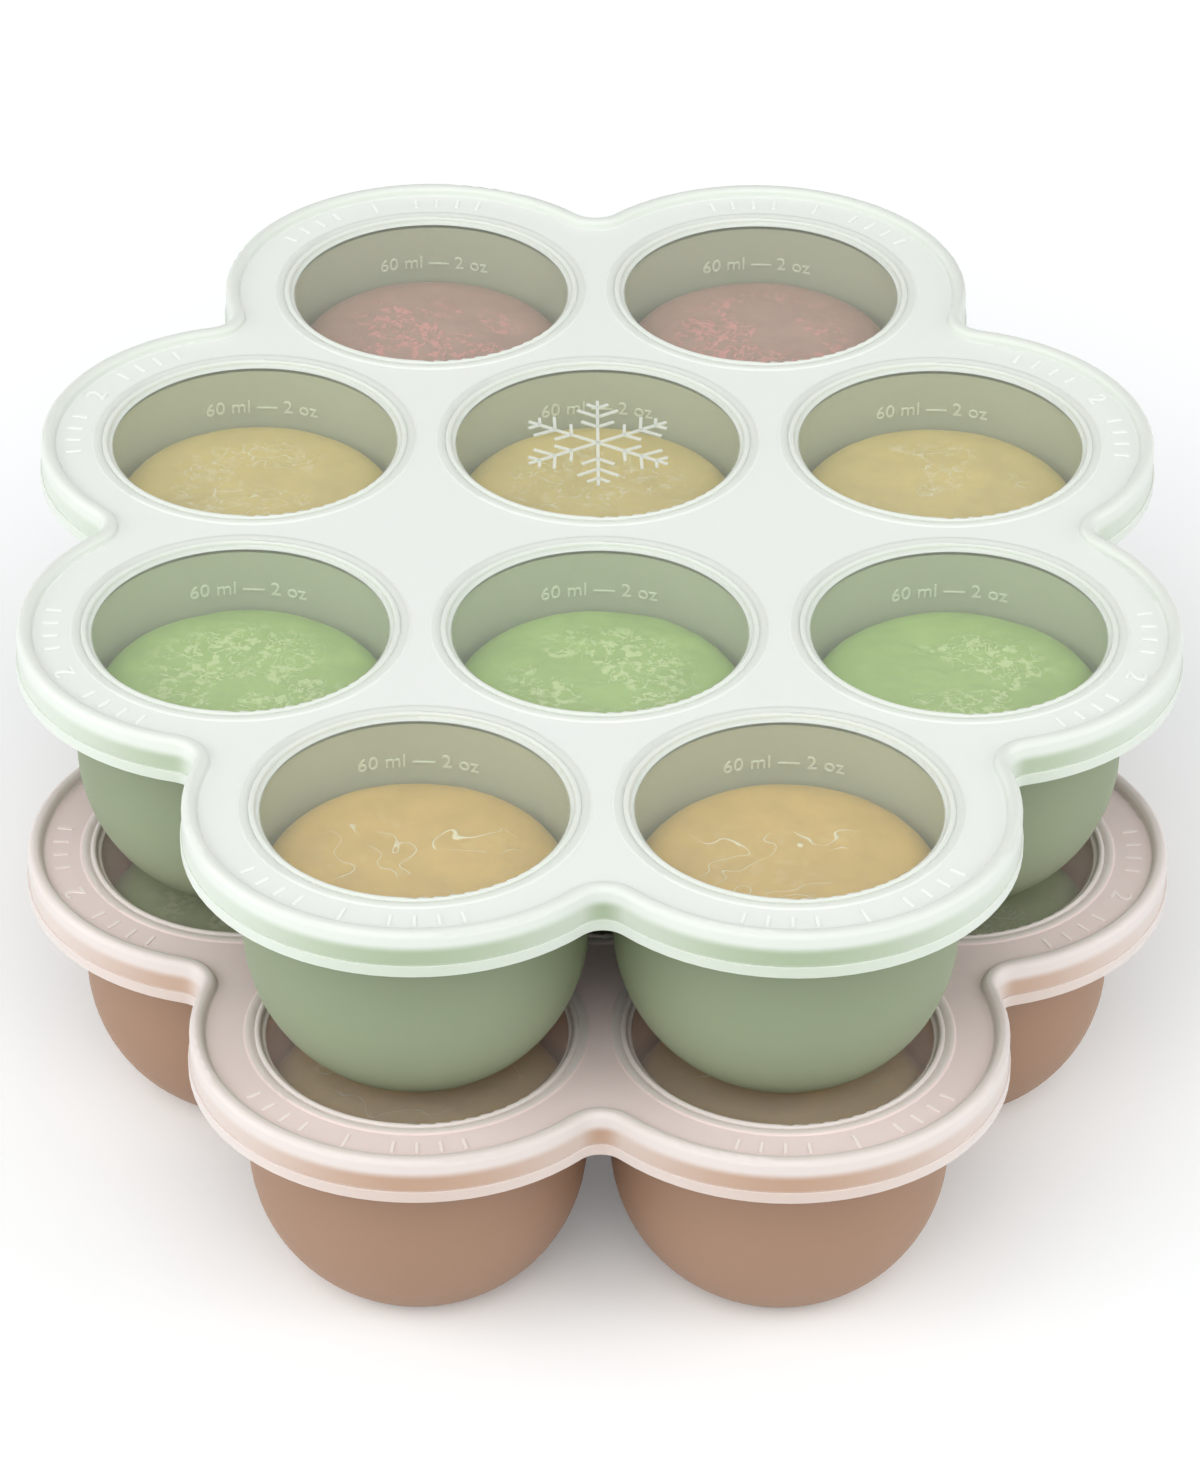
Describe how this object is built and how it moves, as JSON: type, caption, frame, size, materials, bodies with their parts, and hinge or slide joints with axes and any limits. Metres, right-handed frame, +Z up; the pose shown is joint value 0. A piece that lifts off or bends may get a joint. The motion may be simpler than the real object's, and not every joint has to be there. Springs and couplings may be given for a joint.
{
  "type": "baby food freezer tray",
  "caption": "Soft scalloped tray of round cups for freezing portions of baby food, with a translucent lift-off lid, stacked on another of its kind.",
  "frame": {"origin": "middle of the lower tray's outline, on the surface that its cups stand on", "axes": "+Z up, +Y towards the back row of two cups, +X towards the right as seen from the front"},
  "size_m": [0.1888, 0.2312, 0.0887],
  "materials": {
    "silicone_sage": "satin",
    "silicone_tan": "satin",
    "lid_green": "satin",
    "lid_pink": "satin",
    "puree_red": "gloss",
    "puree_yellow": "gloss",
    "puree_green": "gloss",
    "puree_orange": "gloss"
  },
  "bodies": {
    "lower_tray": {"lower_tray": "silicone_tan", "lower_puree_back_left": "puree_red", "lower_puree_back_right": "puree_red", "lower_puree_second_left": "puree_yellow", "lower_puree_second_centre": "puree_yellow", "lower_puree_second_right": "puree_yellow", "lower_puree_third_left": "puree_green", "lower_puree_third_centre": "puree_green", "lower_puree_third_right": "puree_green", "lower_puree_front_left": "puree_orange", "lower_puree_front_right": "puree_orange"},
    "lower_lid": {"lower_lid": "lid_pink"},
    "upper_tray": {"upper_tray": "silicone_sage", "upper_puree_back_left": "puree_red", "upper_puree_back_right": "puree_red", "upper_puree_second_left": "puree_yellow", "upper_puree_second_centre": "puree_yellow", "upper_puree_second_right": "puree_yellow", "upper_puree_third_left": "puree_green", "upper_puree_third_centre": "puree_green", "upper_puree_third_right": "puree_green", "upper_puree_front_left": "puree_orange", "upper_puree_front_right": "puree_orange"},
    "upper_lid": {"upper_lid": "lid_green"}
  },
  "joints": [
    {"name": "lower_lid_lift", "type": "slide", "parent": "lower_tray", "child": "lower_lid", "axis": [0, 0, 1], "range_m": [0, 0.06]},
    {"name": "upper_tray_lift", "type": "slide", "parent": "lower_lid", "child": "upper_tray", "axis": [0, 0, 1], "range_m": [0, 0.06]},
    {"name": "upper_lid_lift", "type": "slide", "parent": "upper_tray", "child": "upper_lid", "axis": [0, 0, 1], "range_m": [0, 0.06]}
  ]
}
